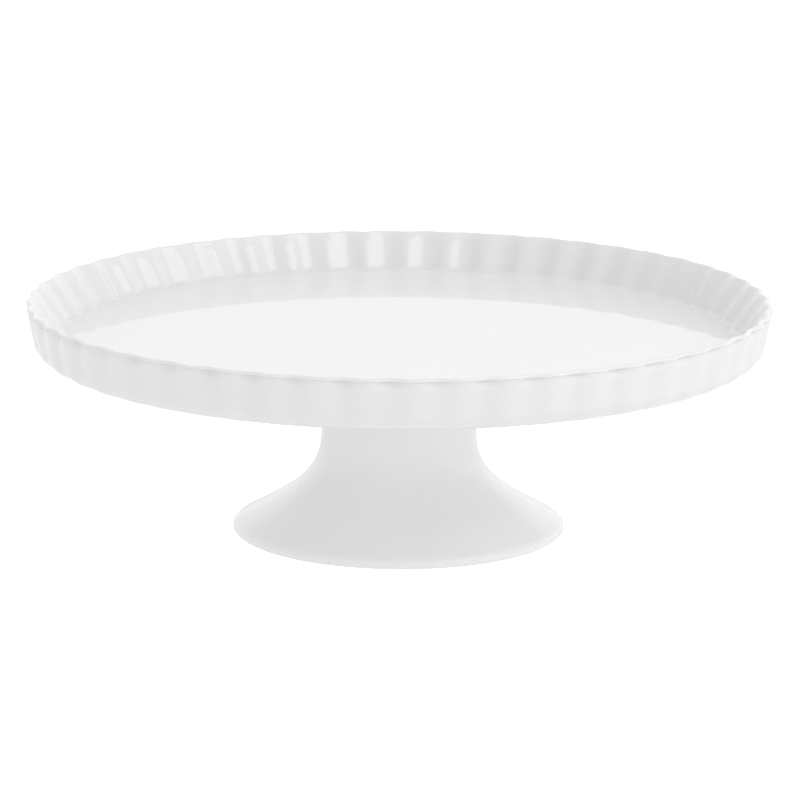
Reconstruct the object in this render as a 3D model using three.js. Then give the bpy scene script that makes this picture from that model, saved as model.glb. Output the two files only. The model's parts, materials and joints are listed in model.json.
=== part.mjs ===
// A white glazed porcelain cake stand: a shallow tray with a fluted wall, on a hollow flared pedestal,
// stuck together with a ring of slip. Millimetres, +Z up, origin on the axis at the foot's resting plane.
import * as THREE from 'three';

// Driving dimensions
const RIM_DIAMETER = 317.5;
const STAND_HEIGHT = 101.6;
const TRAY_HEIGHT = 23.6;
const FLOOR_THICKNESS = 8;
const LIP_THICKNESS = 2.8;
const FLUTE_COUNT = 52;
const FLUTE_DEPTH = { outside: 1, lip: 1.5, inside: 2.3 };
const FOOT_DIAMETER = 142.4;
const WAIST_DIAMETER = 66.6;
const WAIST_HEIGHT = 46;
const PEDESTAL_WALL = 5;
const NECK_SPREAD = 6.7;
const SLIP_THICKNESS = 1.5;

// Tray section
const OUTER_LEAN = 2.8;
const OUTER_CORNER = { width: 14, height: 8.6 };
const FLAT_RADIUS = 144;
const COVE_RADIUS = 3.5;
const LIP_OUTSIDE = { width: 1.1, height: 0.8 };
const LIP_INSIDE = { width: LIP_THICKNESS - LIP_OUTSIDE.width, height: 1.6 };
const LIP_INNER_END = 145;
const LIP_OVERHANG = 0.2;
const UNDER_LIP_POCKET = { depth: 1.5, share: 0.25 };
const VALLEY_SOFTNESS = 1;

// Pedestal section
const FOOT_EDGE_RADIUS = 3.4;
const FOOT_UNDERCUT = { width: 8, height: 2.6 };
const FOOT_RING_WIDTH = 3.2;
const FOOT_RECESS = 1.2;
const FLARE_SLOPE = THREE.MathUtils.degToRad(28);
const FLARE_PULL = { foot: 33.5, waist: 17 };
const NECK_PULL = { waist: 14, top: 8 };
const SLIP_FILLET = 4.4;

// Fineness of the facets
const SEGMENTS_PER_FLUTE = 6;
const PEDESTAL_SEGMENTS = 56;
const FLARE_STEPS = 8;
const NECK_STEPS = 4;
const CORNER_STEPS = 3;
const LIP_STEPS = 2;
const EDGE_STEPS = 2;

// Levels and radii that follow from them
const RIM_RADIUS = RIM_DIAMETER / 2;
const UNDERSIDE_LEVEL = STAND_HEIGHT - TRAY_HEIGHT;
const FLOOR_LEVEL = UNDERSIDE_LEVEL + FLOOR_THICKNESS;
const NECK_LEVEL = UNDERSIDE_LEVEL - SLIP_THICKNESS;
const FOOT_RADIUS = FOOT_DIAMETER / 2;
const WAIST_RADIUS = WAIST_DIAMETER / 2;
const NECK_RADIUS = WAIST_RADIUS + NECK_SPREAD;

// Points on an ellipse's arc, from one angle to another in degrees; angle 0 points away from the axis.
function arc(centre, width, height, fromDegrees, toDegrees, steps = CORNER_STEPS) {
  const from = THREE.MathUtils.degToRad(fromDegrees);
  const to = THREE.MathUtils.degToRad(toDegrees);
  const curve = new THREE.EllipseCurve(centre.x, centre.y, width, height, from, to, to < from);
  return curve.getPoints(steps);
}

// Turns a section of (radius, height) points about the vertical axis.
function turn(section, segments) {
  const geometry = new THREE.LatheGeometry(section, segments);
  geometry.rotateX(Math.PI / 2);
  return geometry;
}

// 0 on the round crest of a flute, rising to 1 in the narrow valley between two flutes. Angle 0 is a crest.
function valleyAt(angle) {
  const swing = Math.cos((FLUTE_COUNT * angle) / 2);
  const lobe = Math.hypot(swing, VALLEY_SOFTNESS) - VALLEY_SOFTNESS;
  const crest = Math.hypot(1, VALLEY_SOFTNESS) - VALLEY_SOFTNESS;
  return 1 - lobe / crest;
}

// Turns a section and draws its points in towards the axis at every valley, each by its own depth.
function turnFluted(section, depths) {
  const segments = FLUTE_COUNT * SEGMENTS_PER_FLUTE;
  const geometry = new THREE.LatheGeometry(section, segments);
  const position = geometry.attributes.position;
  for (let index = 0; index < position.count; index += 1) {
    const column = Math.floor(index / section.length);
    const row = index % section.length;
    const inset = depths[row] * valleyAt((2 * Math.PI * column) / segments);
    const scale = inset === 0 ? 1 : 1 - inset / section[row].x;
    position.setX(index, position.getX(index) * scale);
    position.setZ(index, position.getZ(index) * scale);
  }
  geometry.rotateX(Math.PI / 2);
  geometry.computeVertexNormals();
  return geometry;
}

// The cove at the foot of the inner wall, from where the wall meets it at a tangent down to the flat floor.
function cove(lipEnd) {
  const centre = new THREE.Vector2(FLAT_RADIUS, FLOOR_LEVEL + COVE_RADIUS);
  const away = lipEnd.clone().sub(centre);
  const contact = away.angle() - Math.acos(COVE_RADIUS / away.length());
  return arc(centre, COVE_RADIUS, COVE_RADIUS, THREE.MathUtils.radToDeg(contact), -90);
}

// The tray: flat underside, rounded outer corner, fluted wall with a thin lip, cove and flat floor.
function trayGeometry() {
  const section = [];
  const depths = [];
  const add = (points, depthAt) => {
    points.forEach((point, index) => {
      section.push(point);
      depths.push(depthAt(index / Math.max(points.length - 1, 1)));
    });
  };
  const cornerRadius = RIM_RADIUS - OUTER_LEAN - OUTER_CORNER.width;
  const cornerCentre = new THREE.Vector2(cornerRadius, UNDERSIDE_LEVEL + OUTER_CORNER.height);
  const lipRadius = RIM_RADIUS - LIP_OUTSIDE.width;
  const outsideCentre = new THREE.Vector2(lipRadius, STAND_HEIGHT - LIP_OUTSIDE.height);
  const insideCentre = new THREE.Vector2(lipRadius, STAND_HEIGHT - LIP_INSIDE.height);
  const grooveLevel = STAND_HEIGHT - 2 * LIP_OUTSIDE.height;
  const grooveTop = new THREE.Vector2(RIM_RADIUS - LIP_OVERHANG, grooveLevel);
  const corner = arc(cornerCentre, OUTER_CORNER.width, OUTER_CORNER.height, -90, 0);
  const pocketFoot = grooveTop.clone().lerp(corner.at(-1), UNDER_LIP_POCKET.share);
  const lipOutside = arc(outsideCentre, LIP_OUTSIDE.width, LIP_OUTSIDE.height, 0, 90, LIP_STEPS);
  const lipInside = arc(insideCentre, LIP_INSIDE.width, LIP_INSIDE.height, 90, LIP_INNER_END, LIP_STEPS);

  add([new THREE.Vector2(0, UNDERSIDE_LEVEL)], () => 0);
  add(corner, (along) => FLUTE_DEPTH.outside * Math.sin((Math.PI / 2) * along));
  add([pocketFoot], () => FLUTE_DEPTH.outside);
  add([grooveTop], () => FLUTE_DEPTH.outside + UNDER_LIP_POCKET.depth);
  add([...lipOutside, ...lipInside.slice(1)], () => FLUTE_DEPTH.lip);
  add(cove(lipInside.at(-1)), () => FLUTE_DEPTH.inside);
  add([new THREE.Vector2(0, FLOOR_LEVEL)], () => 0);
  return turnFluted(section, depths);
}

// The flare, from a point near the foot up to the waist, where it stands upright.
function flare(footPoint, waistRadius) {
  const footPull = new THREE.Vector2(-Math.cos(FLARE_SLOPE), Math.sin(FLARE_SLOPE));
  const curve = new THREE.CubicBezierCurve(
    footPoint,
    footPoint.clone().addScaledVector(footPull, FLARE_PULL.foot),
    new THREE.Vector2(waistRadius, WAIST_HEIGHT - FLARE_PULL.waist),
    new THREE.Vector2(waistRadius, WAIST_HEIGHT),
  );
  return curve.getPoints(FLARE_STEPS);
}

// The neck, from the waist up to the rim that carries the tray.
function neck(waistRadius) {
  const topRadius = waistRadius + NECK_SPREAD;
  const curve = new THREE.CubicBezierCurve(
    new THREE.Vector2(waistRadius, WAIST_HEIGHT),
    new THREE.Vector2(waistRadius, WAIST_HEIGHT + NECK_PULL.waist),
    new THREE.Vector2(topRadius - NECK_SPREAD / 2, NECK_LEVEL - NECK_PULL.top),
    new THREE.Vector2(topRadius, NECK_LEVEL),
  );
  return curve.getPoints(NECK_STEPS).slice(1);
}

// The pedestal: one thin shell, open at the top and at the foot. Its edge curves in to a flat foot ring.
function pedestalGeometry() {
  const undercutRadius = FOOT_RADIUS - FOOT_UNDERCUT.width;
  const undercutCentre = new THREE.Vector2(undercutRadius, FOOT_UNDERCUT.height);
  const edgeCentre = new THREE.Vector2(FOOT_RADIUS - FOOT_EDGE_RADIUS, FOOT_UNDERCUT.height);
  const slopeDegrees = 90 - THREE.MathUtils.radToDeg(FLARE_SLOPE);
  const undercut = arc(undercutCentre, FOOT_UNDERCUT.width, FOOT_UNDERCUT.height, -90, 0);
  const edge = arc(edgeCentre, FOOT_EDGE_RADIUS, FOOT_EDGE_RADIUS, 0, slopeDegrees, EDGE_STEPS);
  const outside = [...flare(edge.at(-1), WAIST_RADIUS), ...neck(WAIST_RADIUS)];
  const ringInside = new THREE.Vector2(undercutRadius - FOOT_RING_WIDTH, 0);
  const hollowFoot = new THREE.Vector2(ringInside.x - FOOT_RECESS, FOOT_RECESS);
  const hollowRadius = WAIST_RADIUS - PEDESTAL_WALL;
  const inside = [...flare(hollowFoot, hollowRadius), ...neck(hollowRadius)].reverse();
  const foot = [...undercut, ...edge.slice(1, -1)];
  const section = [...foot, ...outside, ...inside, ringInside, foot[0]];
  return turn(section, PEDESTAL_SEGMENTS);
}

// The ring of slip between the pedestal's rim and the tray, spread into a small fillet on both sides.
function slipRingGeometry() {
  const outerCentre = new THREE.Vector2(NECK_RADIUS + SLIP_FILLET, NECK_LEVEL);
  const innerCentre = new THREE.Vector2(NECK_RADIUS - PEDESTAL_WALL - SLIP_FILLET / 2, NECK_LEVEL);
  const outerFillet = arc(outerCentre, SLIP_FILLET, SLIP_THICKNESS, 180, 90);
  const innerFillet = arc(innerCentre, SLIP_FILLET / 2, SLIP_THICKNESS, 90, 0);
  return turn([...outerFillet, ...innerFillet, outerFillet[0]], PEDESTAL_SEGMENTS);
}

function piece(name, geometry, colour, roughness) {
  const material = new THREE.MeshStandardMaterial({ color: colour, roughness, metalness: 0 });
  material.name = name;
  const mesh = new THREE.Mesh(geometry, material);
  mesh.name = name;
  return mesh;
}

const cakeStand = new THREE.Group();
cakeStand.name = 'cake_stand';
cakeStand.add(piece('fluted_tray', trayGeometry(), 0xf2f2f0, 0.15));
cakeStand.add(piece('pedestal', pedestalGeometry(), 0xf0f0ee, 0.15));
cakeStand.add(piece('slip_joint', slipRingGeometry(), 0xe9e8e4, 0.4));

export default cakeStand;
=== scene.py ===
"""A white glazed porcelain cake stand: fluted tray, hollow pedestal and the slip joint between them.

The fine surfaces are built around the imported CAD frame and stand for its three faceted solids.
Lengths are in metres, +Z up, with the origin on the axis at the plane that the foot rests on.
"""

import json
import math

import bpy
import numpy as np
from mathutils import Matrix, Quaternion, Vector


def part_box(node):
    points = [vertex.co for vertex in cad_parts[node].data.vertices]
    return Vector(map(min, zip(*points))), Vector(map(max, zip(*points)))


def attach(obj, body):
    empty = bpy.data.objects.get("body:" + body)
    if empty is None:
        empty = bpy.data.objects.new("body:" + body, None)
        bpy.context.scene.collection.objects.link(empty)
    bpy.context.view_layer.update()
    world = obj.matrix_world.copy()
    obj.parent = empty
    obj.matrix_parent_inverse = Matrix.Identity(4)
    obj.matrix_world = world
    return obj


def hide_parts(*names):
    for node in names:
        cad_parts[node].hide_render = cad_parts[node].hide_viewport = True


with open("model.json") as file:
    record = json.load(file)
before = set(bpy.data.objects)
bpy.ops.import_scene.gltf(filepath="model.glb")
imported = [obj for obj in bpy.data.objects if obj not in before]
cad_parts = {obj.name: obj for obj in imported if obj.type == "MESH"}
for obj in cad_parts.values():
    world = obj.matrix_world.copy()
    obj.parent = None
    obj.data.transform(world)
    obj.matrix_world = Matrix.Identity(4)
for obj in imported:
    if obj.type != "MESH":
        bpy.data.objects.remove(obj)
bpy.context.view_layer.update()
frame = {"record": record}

MM = 0.001
RANDOM = np.random.RandomState(52)

# Levels and radii, from the frame
TRAY_LOW, TRAY_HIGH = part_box("fluted_tray")
PEDESTAL_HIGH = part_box("pedestal")[1]
MOUNTS = {mount["name"]: mount for mount in frame["record"]["mounts"]}
RIM_RADIUS = TRAY_HIGH.x
RIM_LEVEL = TRAY_HIGH.z
UNDERSIDE_LEVEL = TRAY_LOW.z
FLOOR_LEVEL = MOUNTS["tray_floor"]["pos_m"][2]
NECK_LEVEL = PEDESTAL_HIGH.z
FOOT_RADIUS = PEDESTAL_HIGH.x

# Tray section, as in the CAD source
FLUTE_COUNT = 52
FLUTE_OUTSIDE = 1.0 * MM
FLUTE_LIP = 1.5 * MM
FLUTE_INSIDE = 2.3 * MM
VALLEY_SOFTNESS = 1.0
UNDER_LIP_POCKET = 1.5 * MM
POCKET_SHARE = 0.25
LIP_THICKNESS = 2.8 * MM
LIP_OUTSIDE = (1.1 * MM, 0.8 * MM)
LIP_INSIDE = (LIP_THICKNESS - LIP_OUTSIDE[0], 1.6 * MM)
LIP_OVERHANG = 0.2 * MM
LIP_INNER_END_DEGREES = 145
OUTER_LEAN = 2.8 * MM
OUTER_CORNER = (14.0 * MM, 8.6 * MM)
FLAT_RADIUS = 144.0 * MM
COVE_RADIUS = 3.5 * MM

# Tray section, only here: the lip rounds under, and the inner flutes deepen within this share of the wall
LIP_OUTER_START_DEGREES = -50
FLUTE_BLEND_SHARE = 0.25

# Pedestal section, as in the CAD source
FOOT_EDGE_RADIUS = 3.4 * MM
FOOT_UNDERCUT = (8.0 * MM, 2.6 * MM)
FOOT_RING_WIDTH = 3.2 * MM
FOOT_RECESS = 1.2 * MM
FLARE_SLOPE = math.radians(28)
FLARE_PULL_FOOT = 33.5 * MM
FLARE_PULL_WAIST = 17.0 * MM
WAIST_RADIUS = 33.3 * MM
WAIST_LEVEL = 46.0 * MM
NECK_SPREAD = 6.7 * MM
NECK_PULL_WAIST = 14.0 * MM
NECK_PULL_TOP = 8.0 * MM
PEDESTAL_WALL = 5.0 * MM

# Slip joint section, as in the CAD source
SLIP_FILLET = 4.4 * MM

# Unevenness of hand-finished ware: lowest and highest number of waves in a turn, and their size
FLUTE_DRIFT = (3, 40, 0.0016)
FLUTE_DEPTH_CHANGE = (5, 60, 0.07)
PEDESTAL_WOBBLE = (2, 5, 0.0015)
SLIP_SMEAR = (3, 30, 0.12 * MM)

# Depth of the glaze, from 0 where it is thin to 1 where it has pooled, which greys its colour
GLAZE_UNDERSIDE = 0.3
GLAZE_WALL = 0.2
GLAZE_FLOOR = 0.35
# The extra depth in the pocket under the lip, the cove and the valleys is partly pooled glaze and partly
# painted shade in these recesses
POOLED_GLAZE_AND_SHADE_IN_POCKET = 0.5
POOLED_GLAZE_AND_SHADE_IN_COVE = 0.8
POOLED_GLAZE_AND_SHADE_IN_VALLEY = 0.6

# Height over which the pedestal's glaze thins out from the foot up
GLAZE_ROLL_HEIGHT = 12 * MM

# Fineness of the meshes
COLUMNS_PER_FLUTE = 20
TRAY_COLUMNS = FLUTE_COUNT * COLUMNS_PER_FLUTE
PEDESTAL_COLUMNS = 240
CORNER_ROWS = 12
WALL_ROWS = 14
LIP_ROWS = 8
EDGE_ROWS = 10
RING_ROWS = 4
FLARE_ROWS = 48
NECK_ROWS = 24
FLAT_ROWS = 8
HUB_RADIUS = 20 * MM

# The camera: where it stands, counted from the front, and what it looks at
VIEW_AZIMUTH = math.radians(-2.35)
VIEW_PITCH = math.radians(12.77)
VIEW_ROLL = math.radians(0.35)
VIEW_DISTANCE = 1.966
VIEW_LENS = 206.9
FARTHEST_VIEW = 50
AIM_POINT = Vector((0.0004, 0.0, 0.0575))


# ---------------------------------------------------------------- sections

def arc(centre, size, start, end, rows):
    """Points on an ellipse's arc, angles in degrees, 0 pointing away from the axis."""
    angles = np.radians(np.linspace(start, end, rows + 1))
    return np.stack([centre[0] + size[0] * np.cos(angles), centre[1] + size[1] * np.sin(angles)], axis=1)


def bezier(start, start_pull, end_pull, end, rows):
    """Points on a cubic curve from start to end, ends included."""
    t = np.linspace(0, 1, rows + 1)[:, None]
    start, start_pull, end_pull, end = (np.array(p, float) for p in (start, start_pull, end_pull, end))
    near = (1 - t) ** 3 * start + 3 * (1 - t) ** 2 * t * start_pull
    far = 3 * (1 - t) * t ** 2 * end_pull + t ** 3 * end
    return near + far


def line(start, end, rows):
    """Points on a straight stretch, ends included."""
    t = np.linspace(0, 1, rows + 1)[:, None]
    return (1 - t) * np.array(start, float) + t * np.array(end, float)


def stretch(points, flute=0.0, glaze=0.0):
    """Rows of a fluted section: radius, height, flute depth, glaze depth."""
    points = np.asarray(points, float)
    columns = [np.broadcast_to(value, len(points)) for value in (flute, glaze)]
    return np.column_stack([points, *columns])


def smooth(t):
    """A soft step, 0 up to t = 0 and 1 from t = 1."""
    t = np.clip(t, 0, 1)
    return t * t * (3 - 2 * t)


# ---------------------------------------------------------------- meshes

def wave(angles, lowest, highest, amplitude):
    """A smooth random wobble round the axis, which joins up with itself."""
    total = np.zeros_like(angles)
    numbers = range(lowest, highest + 1)
    for number in numbers:
        total += RANDOM.normal() * np.sin(number * angles + RANDOM.uniform(0, 2 * math.pi))
    return amplitude * total / math.sqrt(len(numbers))


def valley(angles):
    """0 on a flute's round crest, rising to 1 in the valley between two flutes. Angle 0 is a crest."""
    swing = np.cos(FLUTE_COUNT * angles / 2)
    lobe = np.hypot(swing, VALLEY_SOFTNESS) - VALLEY_SOFTNESS
    return 1 - lobe / (np.hypot(1, VALLEY_SOFTNESS) - VALLEY_SOFTNESS)


def round_the_axis(columns):
    """The angles of evenly spaced columns."""
    return np.linspace(0, 2 * math.pi, columns, endpoint=False)


def place(radius, angles, height):
    """Points at a radius and height, at angles counted from the front."""
    angles = np.broadcast_to(angles, radius.shape)
    height = np.broadcast_to(height, radius.shape)
    return np.stack([radius * np.sin(angles), -radius * np.cos(angles), height], axis=-1)


def skin(name, grid, glaze, closed, bare_rows=0):
    """A mesh of quads over a grid of points (rows, columns, xyz).

    Where closed is true the last row joins the first, and otherwise a flat face fills each of them.
    The last bare_rows rows of faces take the second material.
    """
    rows, columns = grid.shape[:2]
    vertices = grid.reshape(-1, 3)
    number = np.arange(rows * columns).reshape(rows, columns)
    following = np.roll(number, -1, axis=1)
    if closed:
        low, high = number, np.roll(number, -1, axis=0)
        low_next, high_next = following, np.roll(following, -1, axis=0)
    else:
        low, high = number[:-1], number[1:]
        low_next, high_next = following[:-1], following[1:]
    faces = np.stack([low, low_next, high_next, high], axis=-1).reshape(-1, 4).tolist()
    if not closed:
        faces.append(number[0][::-1].tolist())
        faces.append(number[-1].tolist())
    mesh = bpy.data.meshes.new(name)
    mesh.from_pydata(vertices.tolist(), [], faces)
    mesh.shade_smooth()
    if bare_rows:
        bare = np.arange(len(faces)) >= len(faces) - bare_rows * columns
        mesh.polygons.foreach_set("material_index", bare.astype(np.int32))
    values = mesh.attributes.new("glaze_depth_and_shade", "FLOAT", "POINT")
    values.data.foreach_set("value", glaze.reshape(-1).astype(np.float32))
    piece = bpy.data.objects.new(name, mesh)
    bpy.context.scene.collection.objects.link(piece)
    return piece


# ---------------------------------------------------------------- tray

def tray_outside(lip_foot):
    """The flat underside, the rounded corner and the fluted wall up to the groove under the lip."""
    corner = (RIM_RADIUS - OUTER_LEAN - OUTER_CORNER[0], UNDERSIDE_LEVEL + OUTER_CORNER[1])
    wall_foot = (corner[0] + OUTER_CORNER[0], corner[1])
    along = np.linspace(0, 1, CORNER_ROWS + 1)
    up = np.linspace(0, 1, WALL_ROWS + 1)[1:]
    near_lip = smooth((up - 1 + POCKET_SHARE) / POCKET_SHARE)
    underside = line((HUB_RADIUS, UNDERSIDE_LEVEL), (corner[0], UNDERSIDE_LEVEL), FLAT_ROWS)[:-1]
    rounded = arc(corner, OUTER_CORNER, -90, 0, CORNER_ROWS)
    wall = line(wall_foot, lip_foot, WALL_ROWS)[1:]
    corner_flute = FLUTE_OUTSIDE * np.sin(along * math.pi / 2)
    wall_flute = FLUTE_OUTSIDE + UNDER_LIP_POCKET * near_lip
    # Towards the lip the colour darkens in the pocket: partly pooled glaze, partly painted shade under
    # the lip
    return [
        stretch(underside, glaze=GLAZE_UNDERSIDE),
        stretch(rounded, corner_flute, GLAZE_UNDERSIDE),
        stretch(wall, wall_flute, GLAZE_WALL + POOLED_GLAZE_AND_SHADE_IN_POCKET * near_lip),
    ]


def tray_inside(lip_end):
    """The fluted wall, a tangent cove at its foot and the flat floor."""
    centre = (FLAT_RADIUS, FLOOR_LEVEL + COVE_RADIUS)
    reach = math.dist(lip_end, centre)
    slope = math.atan2(lip_end[1] - centre[1], lip_end[0] - centre[0])
    contact = math.degrees(slope - math.acos(COVE_RADIUS / reach))
    cove = arc(centre, (COVE_RADIUS, COVE_RADIUS), contact, -90, CORNER_ROWS)
    wall = line(lip_end, cove[0], WALL_ROWS)[1:-1]
    floor = line((FLAT_RADIUS, FLOOR_LEVEL), (HUB_RADIUS, FLOOR_LEVEL), FLAT_ROWS)[1:]
    down = np.linspace(0, 1, WALL_ROWS + 1)[1:-1]
    wall_flute = FLUTE_LIP + (FLUTE_INSIDE - FLUTE_LIP) * smooth(down / FLUTE_BLEND_SHARE)
    # The cove's colour darkens towards its middle: partly pooled glaze, partly painted shade in the
    # crease at the wall's foot
    cove_pool_and_shade = np.sin(np.linspace(0, math.pi, CORNER_ROWS + 1))
    return [
        stretch(wall, wall_flute, GLAZE_WALL),
        stretch(cove, FLUTE_INSIDE, GLAZE_WALL + POOLED_GLAZE_AND_SHADE_IN_COVE * cove_pool_and_shade),
        stretch(floor, glaze=GLAZE_FLOOR),
    ]


def tray_section():
    """The whole section, from the underside over the lip to the floor."""
    lip_radius = RIM_RADIUS - LIP_OUTSIDE[0]
    lip_foot = (RIM_RADIUS - LIP_OVERHANG, RIM_LEVEL - 2 * LIP_OUTSIDE[1])
    outer_centre = (lip_radius, RIM_LEVEL - LIP_OUTSIDE[1])
    inner_centre = (lip_radius, RIM_LEVEL - LIP_INSIDE[1])
    outer = arc(outer_centre, LIP_OUTSIDE, LIP_OUTER_START_DEGREES, 90, 2 * LIP_ROWS)
    inner = arc(inner_centre, LIP_INSIDE, 90, LIP_INNER_END_DEGREES, LIP_ROWS)[1:]
    lip = stretch(np.concatenate([outer, inner]), FLUTE_LIP)
    return np.concatenate([*tray_outside(lip_foot), lip, *tray_inside(inner[-1])])


def make_tray():
    """The tray's section turned about the axis, drawn in at every valley by its flute depth."""
    angles = round_the_axis(TRAY_COLUMNS)
    radius, height, flute, glaze = (column[:, None] for column in tray_section().T)
    drift = wave(angles, *FLUTE_DRIFT)
    depth = 1 + wave(angles, *FLUTE_DEPTH_CHANGE)
    hollow = valley(angles + drift)
    turned = np.minimum(radius - flute * depth * hollow, RIM_RADIUS)
    # Every valley's colour darkens: partly pooled glaze, partly painted shade between the flutes
    pooled_glaze_and_shade = np.clip(glaze + POOLED_GLAZE_AND_SHADE_IN_VALLEY * hollow * (flute > 0), 0, 1)
    return skin("tray", place(turned, angles, height), pooled_glaze_and_shade, closed=False)


# ---------------------------------------------------------------- pedestal

def flare(foot, waist_radius):
    """The flare, from a point near the foot up to the waist, where it stands upright."""
    reach = FLARE_PULL_FOOT * math.cos(FLARE_SLOPE)
    rise = FLARE_PULL_FOOT * math.sin(FLARE_SLOPE)
    foot_pull = (foot[0] - reach, foot[1] + rise)
    waist_pull = (waist_radius, WAIST_LEVEL - FLARE_PULL_WAIST)
    return bezier(foot, foot_pull, waist_pull, (waist_radius, WAIST_LEVEL), FLARE_ROWS)


def neck(waist_radius):
    """The neck, from the waist up to the rim that carries the tray."""
    waist = (waist_radius, WAIST_LEVEL)
    waist_pull = (waist_radius, WAIST_LEVEL + NECK_PULL_WAIST)
    top = (waist_radius + NECK_SPREAD, NECK_LEVEL)
    top_pull = (top[0] - NECK_SPREAD / 2, NECK_LEVEL - NECK_PULL_TOP)
    return bezier(waist, waist_pull, top_pull, top, NECK_ROWS)[1:]


def pedestal_section():
    """The foot's rounded edge, the outside, the inside, and the bare ring, which comes last."""
    ring_radius = FOOT_RADIUS - FOOT_UNDERCUT[0]
    undercut = arc((ring_radius, FOOT_UNDERCUT[1]), FOOT_UNDERCUT, -90, 0, CORNER_ROWS)
    edge_centre = (FOOT_RADIUS - FOOT_EDGE_RADIUS, FOOT_UNDERCUT[1])
    slope = 90 - math.degrees(FLARE_SLOPE)
    edge = arc(edge_centre, (FOOT_EDGE_RADIUS, FOOT_EDGE_RADIUS), 0, slope, EDGE_ROWS)
    outside = np.concatenate([flare(edge[-1], WAIST_RADIUS), neck(WAIST_RADIUS)])
    hollow_foot = (ring_radius - FOOT_RING_WIDTH - FOOT_RECESS, FOOT_RECESS)
    hollow_radius = WAIST_RADIUS - PEDESTAL_WALL
    inside = np.concatenate([flare(hollow_foot, hollow_radius), neck(hollow_radius)])[::-1]
    ring = line((ring_radius - FOOT_RING_WIDTH, 0), (ring_radius, 0), RING_ROWS)[:-1]
    return np.concatenate([undercut, edge[1:-1], outside, inside, ring])


def make_pedestal():
    """The pedestal's section turned about the axis, very slightly out of round."""
    section = pedestal_section()
    height = section[:, 1:]
    angles = round_the_axis(PEDESTAL_COLUMNS)
    wobble = wave(angles, *PEDESTAL_WOBBLE)
    radius = section[:, :1] * (1 + wobble - wobble.max())
    glaze = np.clip(1 - height / GLAZE_ROLL_HEIGHT, 0, 1) * np.ones_like(angles)
    grid = place(radius, angles, height)
    return skin("pedestal_shell", grid, glaze, closed=True, bare_rows=RING_ROWS)


def make_slip_joint():
    """The ring of slip, smeared a little unevenly on both sides of the pedestal's rim."""
    neck_radius = WAIST_RADIUS + NECK_SPREAD
    thickness = UNDERSIDE_LEVEL - NECK_LEVEL
    outer_centre = (neck_radius + SLIP_FILLET, NECK_LEVEL)
    outer = arc(outer_centre, (SLIP_FILLET, thickness), 180, 90, CORNER_ROWS)
    inner_centre = (neck_radius - PEDESTAL_WALL - SLIP_FILLET / 2, NECK_LEVEL)
    inner = arc(inner_centre, (SLIP_FILLET / 2, thickness), 90, 0, CORNER_ROWS)
    section = np.concatenate([outer, inner])
    angles = round_the_axis(PEDESTAL_COLUMNS)
    spread = np.abs(section[:, :1] - neck_radius + PEDESTAL_WALL / 2) / SLIP_FILLET
    radius = section[:, :1] + spread * wave(angles, *SLIP_SMEAR)
    grid = place(radius, angles, section[:, 1:])
    return skin("slip_ring", grid, np.ones(radius.shape), closed=True)


# ---------------------------------------------------------------- materials

# Colours, thin glaze first and pooled glaze second; on the tray the pooled colour is also painted shade
# in the valleys, the cove and the pocket under the lip
TRAY_WHITES = ((0.868, 0.868, 0.866), (0.838, 0.84, 0.84))
PEDESTAL_WHITES = ((0.945, 0.945, 0.942), (0.93, 0.932, 0.93))
SLIP_WHITES = ((0.87, 0.868, 0.86), (0.84, 0.838, 0.83))
CLOUD_WHITE = (0.885, 0.885, 0.875)
SPECK_GREY = (0.55, 0.53, 0.50)
BISQUE_DARK = (0.70, 0.68, 0.64)
BISQUE_LIGHT = (0.80, 0.785, 0.75)
GRIT_BROWN = (0.42, 0.38, 0.33)

# Patterns: scales are features to a metre, and a dot's size is its radius as a share of its cell
CLOUD_SCALE, CLOUD_DETAIL, CLOUD_STRENGTH = 18, 3.0, 0.35
SPECK_SCALE, SPECK_SIZE, SPECK_STRENGTH = 120, 0.05, 0.35
SPECK_PATCH_SCALE = 40
SHEEN_SCALE = 90
RIPPLE_SCALE = 35
FINE_RIPPLE_SCALE, FINE_RIPPLE_SHARE = 210, 0.1
PINHOLE_SCALE, PINHOLE_SIZE, PINHOLE_DEPTH = 170, 0.045, 0.04 * MM
GRAIN_SCALE, GRAIN_DETAIL, GRAIN_DEPTH = 900, 4.0, 0.05 * MM
GRIT_SCALE, GRIT_SIZE, GRIT_STRENGTH = 500, 0.12, 0.5

# Parts of a noise's range, 0 to 1, over which a pattern comes in
NOISE_MIDDLE = (0.3, 0.7)
CLOUD_RANGE = (0.4, 0.75)
SPECK_PATCH_RANGE = (0.5, 0.62)

# Gloss: the body under the glaze, the clear coat over it, and the bare ring
BODY_ROUGHNESS = (0.275, 0.285)
BODY_SPECULAR = 0.2
COAT_ROUGHNESS = 0.02
GLAZE_IOR = 1.5
BISQUE_ROUGHNESS = (0.75, 0.95)

# Height of the slow ripple in each glaze
TRAY_RIPPLE = 0.03 * MM
PEDESTAL_RIPPLE = 0.05 * MM
SLIP_RIPPLE = 0.15 * MM


def feed(tree, socket, value):
    """Links another node's output to a socket, or sets the socket where the value is a plain one."""
    if isinstance(value, bpy.types.NodeSocket):
        tree.links.new(value, socket)
    else:
        socket.default_value = value


def add_node(tree, kind, inputs=(), **settings):
    """A node with its settings; each input is a plain value or another node's output."""
    node = tree.nodes.new(kind)
    for name, value in settings.items():
        setattr(node, name, value)
    for name, value in dict(inputs).items():
        feed(tree, node.inputs[name], value)
    return node


def new_material(name):
    """A new material, its node tree, its shader and the place of each point in metres."""
    material = bpy.data.materials.new(name)
    material.use_nodes = True
    tree = material.node_tree
    where = add_node(tree, "ShaderNodeTexCoord").outputs["Object"]
    return material, tree, tree.nodes["Principled BSDF"], where


def noise(tree, where, scale, detail=2.0):
    """A soft random pattern between 0 and 1."""
    inputs = {"Vector": where, "Scale": scale, "Detail": detail}
    return add_node(tree, "ShaderNodeTexNoise", inputs).outputs["Fac"]


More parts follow.
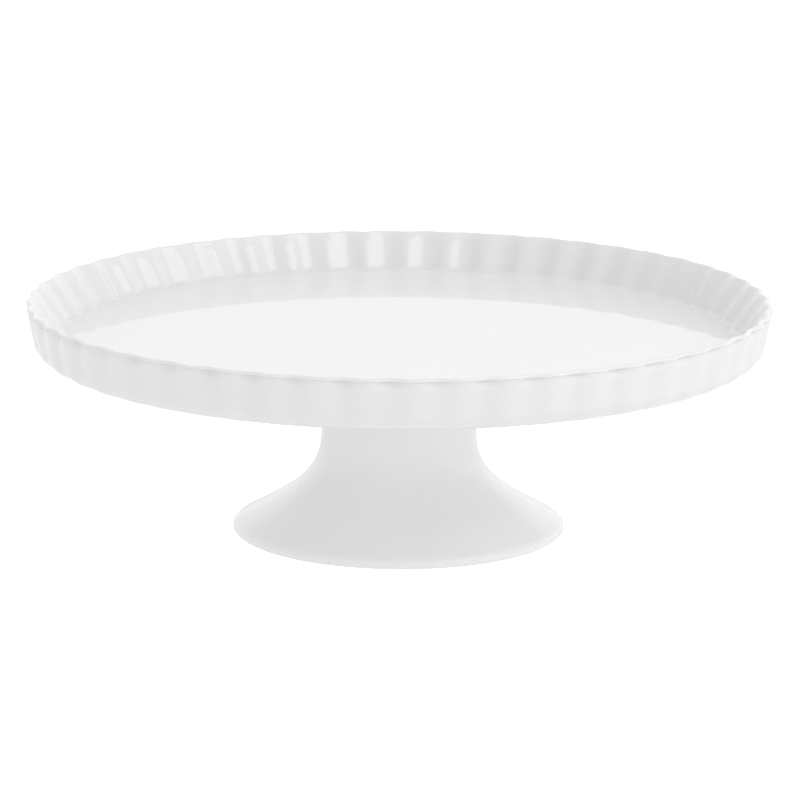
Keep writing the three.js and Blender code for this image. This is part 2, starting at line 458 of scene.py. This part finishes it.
def remap(tree, value, low, high, from_value, to_value):
    """The value's range from low to high, eased over to another range and held at its ends."""
    inputs = {"Value": value, "From Min": low, "From Max": high, "To Min": from_value, "To Max": to_value}
    return add_node(tree, "ShaderNodeMapRange", inputs, interpolation_type="SMOOTHSTEP").outputs["Result"]


def dots(tree, where, scale, size):
    """1 inside small dots strewn one to a cell, 0 elsewhere."""
    cell = add_node(tree, "ShaderNodeTexVoronoi", {"Vector": where, "Scale": scale})
    return remap(tree, cell.outputs["Distance"], size, size * 0.5, 0.0, 1.0)


def tint(tree, factor, first, second):
    """A blend from the first colour to the second; each is plain or another node's output."""
    node = tree.nodes.new("ShaderNodeMix")
    node.data_type = "RGBA"
    sockets = {socket.identifier: socket for socket in node.inputs}
    feed(tree, sockets["Factor_Float"], factor)
    for key, colour in (("A_Color", first), ("B_Color", second)):
        plain = isinstance(colour, tuple)
        feed(tree, sockets[key], (*colour, 1.0) if plain else colour)
    return next(output for output in node.outputs if output.identifier == "Result_Color")


def arithmetic(tree, operation, first, second):
    """The outcome of a math operation on two values."""
    node = tree.nodes.new("ShaderNodeMath")
    node.operation = operation
    for socket, value in zip(node.inputs, (first, second)):
        feed(tree, socket, value)
    return node.outputs["Value"]


def multiply(tree, first, second):
    """The product of two values."""
    return arithmetic(tree, "MULTIPLY", first, second)


def relief(tree, layers):
    """A bump from layers of (pattern, height in metres), one over the other."""
    normal = None
    for pattern, height in layers:
        inputs = {"Height": pattern, "Distance": height, "Strength": 1.0}
        if normal is not None:
            inputs["Normal"] = normal
        normal = add_node(tree, "ShaderNodeBump", inputs).outputs["Normal"]
    return normal


def glaze_colour(tree, where, thin, pooled_and_shaded_white):
    """White that deepens where the glaze has pooled and where shade is painted into the tray's recesses,
    with faint clouds and a few grey specks.
    """
    # The depth also carries painted shade: darker colour in the tray's valleys, cove and under-lip pocket
    depth = add_node(tree, "ShaderNodeAttribute", attribute_name="glaze_depth_and_shade").outputs["Fac"]
    cloud = noise(tree, where, CLOUD_SCALE, CLOUD_DETAIL)
    clouds = remap(tree, cloud, *CLOUD_RANGE, 0.0, CLOUD_STRENGTH)
    patch = noise(tree, where, SPECK_PATCH_SCALE)
    patches = remap(tree, patch, *SPECK_PATCH_RANGE, 0.0, SPECK_STRENGTH)
    specks = multiply(tree, dots(tree, where, SPECK_SCALE, SPECK_SIZE), patches)
    clouded = tint(tree, clouds, tint(tree, depth, thin, pooled_and_shaded_white), CLOUD_WHITE)
    return tint(tree, specks, clouded, SPECK_GREY)


def glaze_relief(tree, where, ripple):
    """The glaze's slow and fine ripples, and its pinholes."""
    pinholes = multiply(tree, dots(tree, where, PINHOLE_SCALE, PINHOLE_SIZE), -1.0)
    return relief(tree, [
        (noise(tree, where, RIPPLE_SCALE), ripple),
        (noise(tree, where, FINE_RIPPLE_SCALE), ripple * FINE_RIPPLE_SHARE),
        (pinholes, PINHOLE_DEPTH),
    ])


def glaze_material(name, whites, ripple):
    """Clear glossy glaze over white porcelain."""
    material, tree, shader, where = new_material(name)
    surface = glaze_relief(tree, where, ripple)
    sheen = remap(tree, noise(tree, where, SHEEN_SCALE), *NOISE_MIDDLE, *BODY_ROUGHNESS)
    for socket, value in (
        ("Base Color", glaze_colour(tree, where, *whites)),
        ("Roughness", sheen),
        ("Normal", surface),
        ("Coat Normal", surface),
        ("Specular IOR Level", BODY_SPECULAR),
        ("Coat Weight", 1.0),
        ("Coat Roughness", COAT_ROUGHNESS),
        ("Coat IOR", GLAZE_IOR),
    ):
        feed(tree, shader.inputs[socket], value)
    return material


def bisque_material(name):
    """The bare porcelain of the foot ring: dry, fine-grained and a little warm, with dark grit."""
    material, tree, shader, where = new_material(name)
    grain = noise(tree, where, GRAIN_SCALE, GRAIN_DETAIL)
    body = tint(tree, remap(tree, grain, *NOISE_MIDDLE, 0.0, 1.0), BISQUE_DARK, BISQUE_LIGHT)
    grit = multiply(tree, dots(tree, where, GRIT_SCALE, GRIT_SIZE), GRIT_STRENGTH)
    feed(tree, shader.inputs["Base Color"], tint(tree, grit, body, GRIT_BROWN))
    feed(tree, shader.inputs["Roughness"], remap(tree, grain, *NOISE_MIDDLE, *BISQUE_ROUGHNESS))
    feed(tree, shader.inputs["Normal"], relief(tree, [(grain, GRAIN_DEPTH)]))
    return material


# ---------------------------------------------------------------- stage

FLOOR_REACH = 8.0
FLOOR_ROUGHNESS = 0.9

# The sheet that only the camera sees, and just over it the paper that only the stand's surfaces meet
LIT_LEVEL, LIT_GREY, LIT_GLOW = -0.4 * MM, 0.9, 1.0
PAPER_LEVEL, PAPER_GREY, PAPER_GLOW = -0.2 * MM, 0.5, 0.45


def floor_sheet(name, level, grey, glow):
    """A wide square sheet that gives off some light of its own."""
    reach = FLOOR_REACH
    corners = [(-reach, -reach, 0), (reach, -reach, 0), (reach, reach, 0), (-reach, reach, 0)]
    mesh = bpy.data.meshes.new(name)
    mesh.from_pydata(corners, [], [(0, 1, 2, 3)])
    sheet = bpy.data.objects.new(name, mesh)
    bpy.context.scene.collection.objects.link(sheet)
    sheet.location.z = level
    material = bpy.data.materials.new(name)
    material.use_nodes = True
    shader = material.node_tree.nodes["Principled BSDF"]
    shader.inputs["Base Color"].default_value = (grey, grey, grey, 1)
    shader.inputs["Roughness"].default_value = FLOOR_ROUGHNESS
    shader.inputs["Emission Color"].default_value = (1, 1, 1, 1)
    shader.inputs["Emission Strength"].default_value = glow
    mesh.materials.append(material)
    return sheet


def make_floor():
    """A lit white floor for the camera, and the paper that lights and is mirrored in the stand."""
    lit = floor_sheet("floor_lit", LIT_LEVEL, LIT_GREY, LIT_GLOW)
    lit.visible_diffuse = False
    lit.visible_glossy = False
    paper = floor_sheet("floor_paper", PAPER_LEVEL, PAPER_GREY, PAPER_GLOW)
    paper.visible_camera = False
    paper.visible_shadow = False


def softbox(name, azimuth, elevation, distance, side, radiance):
    """A square studio light aimed at the stand; azimuth 0 is the front, and 90 is +X."""
    turn, rise = math.radians(azimuth), math.radians(elevation)
    level = math.cos(rise)
    away = Vector((math.sin(turn) * level, -math.cos(turn) * level, math.sin(rise)))
    data = bpy.data.lights.new(name, "AREA")
    data.shape = "RECTANGLE"
    data.size, data.size_y = side, side
    data.energy = radiance * math.pi * side * side
    light = bpy.data.objects.new(name, data)
    light.location = AIM_POINT + away * distance
    light.rotation_mode = "QUATERNION"
    light.rotation_quaternion = away.to_track_quat("Z", "Y")
    light.visible_camera = False
    bpy.context.scene.collection.objects.link(light)


# Brightness of the room below, ahead of, behind and above the stand, and what +X adds to it
BELOW = 0.9
AHEAD = 0.91
BEHIND = 1.04
OVERHEAD = 0.78
MORE_FROM_THE_RIGHT = 0.09

# Where one brightness gives way to the next, as parts of a unit direction
AHEAD_TO_BEHIND = (-0.5, 0.9)
HORIZON_TO_OVERHEAD = (0.25, 0.65)
BELOW_TO_HORIZON = (-0.25, 0.0)


def make_world():
    """A bright room: its light depends only on the direction it comes from."""
    world = bpy.data.worlds.new("studio")
    world.use_nodes = True
    tree = world.node_tree
    toward = add_node(tree, "ShaderNodeTexCoord").outputs["Generated"]
    axes = add_node(tree, "ShaderNodeSeparateXYZ", {"Vector": toward}).outputs

    def mix(factor, first, second):
        """A blend from the first brightness to the second."""
        inputs = {"Factor": factor, "A": first, "B": second}
        return add_node(tree, "ShaderNodeMix", inputs).outputs["Result"]

    horizon = remap(tree, axes["Y"], *AHEAD_TO_BEHIND, AHEAD, BEHIND)
    upper = mix(remap(tree, axes["Z"], *HORIZON_TO_OVERHEAD, 0.0, 1.0), horizon, OVERHEAD)
    level = mix(remap(tree, axes["Z"], *BELOW_TO_HORIZON, 0.0, 1.0), BELOW, upper)
    slant = multiply(tree, axes["X"], MORE_FROM_THE_RIGHT)
    backdrop = tree.nodes["Background"]
    backdrop.inputs["Color"].default_value = (1, 1, 1, 1)
    feed(tree, backdrop.inputs["Strength"], arithmetic(tree, "ADD", level, slant))
    bpy.context.scene.world = world


def make_camera():
    """The main view, from above the rim and slightly to the left of the front."""
    data = bpy.data.cameras.new("camera")
    data.lens = VIEW_LENS
    data.clip_end = FARTHEST_VIEW
    camera = bpy.data.objects.new("camera", data)
    level = math.cos(VIEW_PITCH)
    back = Vector((math.sin(VIEW_AZIMUTH) * level, -math.cos(VIEW_AZIMUTH) * level, math.sin(VIEW_PITCH)))
    camera.location = AIM_POINT + back * VIEW_DISTANCE
    camera.rotation_mode = "QUATERNION"
    camera.rotation_quaternion = (-back).to_track_quat("-Z", "Y") @ Quaternion((0, 0, 1), VIEW_ROLL)
    bpy.context.scene.collection.objects.link(camera)
    bpy.context.scene.camera = camera


# ---------------------------------------------------------------- scene

make_camera()
make_world()
make_floor()
softbox("key", azimuth=60, elevation=48, distance=1.8, side=1.2, radiance=1.35)
bpy.context.scene.view_settings.view_transform = "Standard"

tray_glaze = glaze_material("porcelain_glaze", TRAY_WHITES, TRAY_RIPPLE)
pedestal_glaze = glaze_material("pedestal_glaze", PEDESTAL_WHITES, PEDESTAL_RIPPLE)
slip_glaze = glaze_material("glazed_slip", SLIP_WHITES, SLIP_RIPPLE)
bisque = bisque_material("bare_bisque")
for piece, node, slot, materials in (
    (make_tray(), "fluted_tray", "tray_glaze", [tray_glaze]),
    (make_pedestal(), "pedestal", "pedestal_glaze", [pedestal_glaze, bisque]),
    (make_slip_joint(), "slip_joint", "fired_slip", [slip_glaze]),
):
    for material in materials:
        piece.data.materials.append(material)
    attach(piece, "root")
    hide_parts(node)
